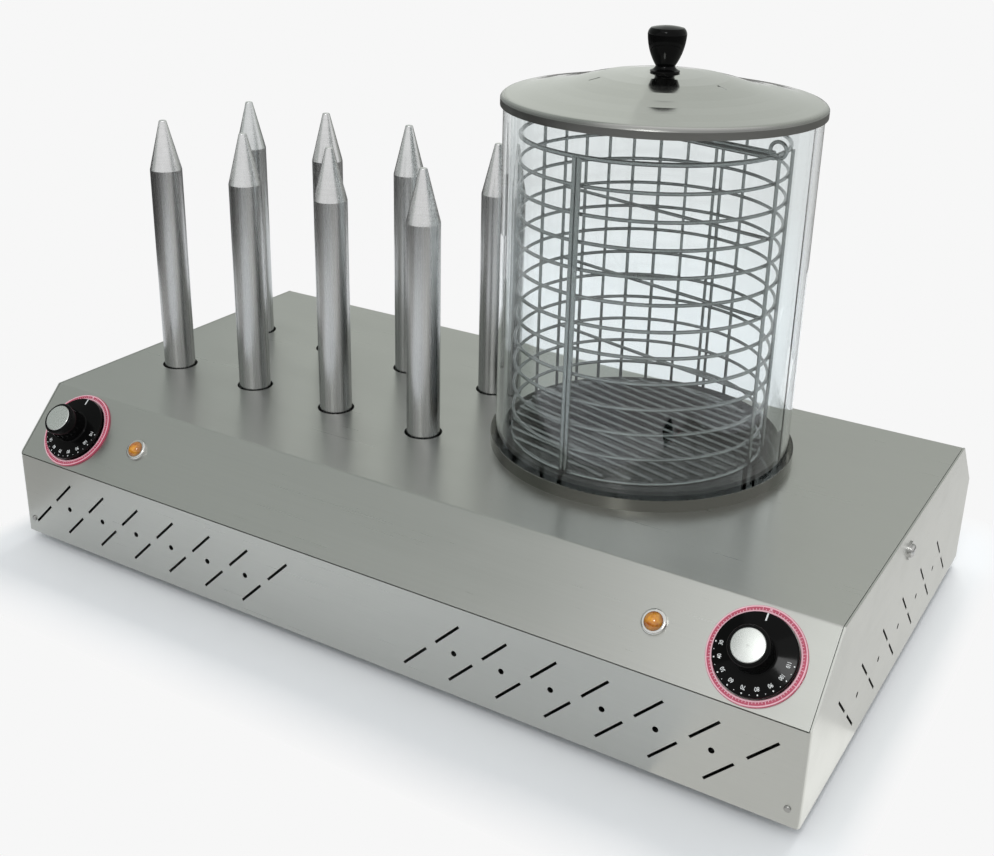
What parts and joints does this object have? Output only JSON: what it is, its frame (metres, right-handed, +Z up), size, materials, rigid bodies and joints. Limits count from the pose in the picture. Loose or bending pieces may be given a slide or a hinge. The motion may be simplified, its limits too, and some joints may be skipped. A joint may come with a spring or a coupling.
{
  "type": "hot dog toaster",
  "caption": "Countertop hot dog toaster with upright heated spikes for rolls, a lidded glass steamer with a lift-out wire basket, and two dials.",
  "frame": {"origin": "on the surface the feet stand on, below the middle of the case", "axes": "+X along the front edge to the right, +Y to the back, +Z up"},
  "size_m": [0.6068, 0.3558, 0.3919],
  "materials": {
    "case_steel": "satin stainless sheet",
    "plated_steel": "dull zinc plate",
    "screw_steel": "bright turned steel",
    "heater_sheath": "dark heated sheath",
    "cutout_can": "bright can",
    "pan_steel": "polished stainless",
    "lid_steel": "spun satin stainless",
    "band_chrome": "bright plate",
    "wire_chrome": "bright plated wire",
    "spike_aluminium": "turned, fine lines",
    "cap_aluminium": "fine brushed",
    "clear_glass": "clear",
    "black_gloss": "glossy black",
    "black_matte": "moulded black",
    "pale_plastic": "moulded off-white",
    "lead_cover": "heat resistant sleeve",
    "copper_tube": "drawn tube",
    "thermostat_body": "plated can",
    "scale_red": "printed red scale",
    "amber_lens": "clear amber",
    "foot_rubber": "moulded rubber"
  },
  "bodies": {
    "case": {"base_plate": "plated_steel", "capillary_left": "copper_tube", "capillary_right": "copper_tube", "case_walls": "case_steel", "clamp_stud": "screw_steel", "cord_gland": "black_matte", "corner_screws": "screw_steel", "element_clamp": "plated_steel", "foot_1": "foot_rubber", "foot_2": "foot_rubber", "foot_3": "foot_rubber", "foot_4": "foot_rubber", "foot_screws": "screw_steel", "gland_nut": "black_matte", "glass_band": "band_chrome", "heating_rods": "heater_sheath", "internal_leads": "lead_cover", "lamp_barrels": "black_matte", "lamp_bezels": "band_chrome", "lamp_lens_left": "amber_lens", "lamp_lens_right": "amber_lens", "pan_cutout": "cutout_can", "pan_element": "heater_sheath", "rail_back": "plated_steel", "rail_front": "plated_steel", "rail_studs": "plated_steel", "scale_ring_left": "scale_red", "scale_ring_right": "scale_red", "side_screws": "screw_steel", "small_nuts": "screw_steel", "spike_1": "spike_aluminium", "spike_2": "spike_aluminium", "spike_3": "spike_aluminium", "spike_4": "spike_aluminium", "spike_5": "spike_aluminium", "spike_6": "spike_aluminium", "spike_7": "spike_aluminium", "spike_8": "spike_aluminium", "spike_nuts": "plated_steel", "terminal_block": "pale_plastic", "thermostat_left": "thermostat_body", "thermostat_right": "thermostat_body", "thermostat_screws": "screw_steel", "top_cover": "case_steel", "water_pan": "pan_steel"},
    "knob_left": {"knob_left": "black_gloss", "knob_cap_left": "cap_aluminium", "spindle_left": "screw_steel"},
    "knob_right": {"knob_right": "black_gloss", "knob_cap_right": "cap_aluminium", "spindle_right": "screw_steel"},
    "glass": {"glass_cylinder": "clear_glass"},
    "basket": {"basket_rings": "wire_chrome", "basket_uprights": "wire_chrome", "basket_floor": "wire_chrome", "basket_feet": "wire_chrome", "basket_divider": "wire_chrome"},
    "lid": {"lid": "lid_steel", "lid_grip": "black_gloss", "lid_screw": "screw_steel"}
  },
  "joints": [
    {"name": "knob_left_turn", "type": "hinge", "parent": "case", "child": "knob_left", "pos_m": [-0.26, -0.15425, 0.091], "axis": [0, 0.7113, -0.7029], "range_deg": [0, 270]},
    {"name": "knob_right_turn", "type": "hinge", "parent": "case", "child": "knob_right", "pos_m": [0.26, -0.15425, 0.091], "axis": [0, 0.7113, -0.7029], "range_deg": [0, 270]},
    {"name": "glass_lift", "type": "slide", "parent": "case", "child": "glass", "axis": [0, 0, 1], "range_m": [0, 0.06]},
    {"name": "basket_lift", "type": "slide", "parent": "glass", "child": "basket", "axis": [0, 0, 1], "range_m": [0, 0.26]},
    {"name": "lid_lift", "type": "slide", "parent": "basket", "child": "lid", "axis": [0, 0, 1], "range_m": [0, 0.12]}
  ]
}
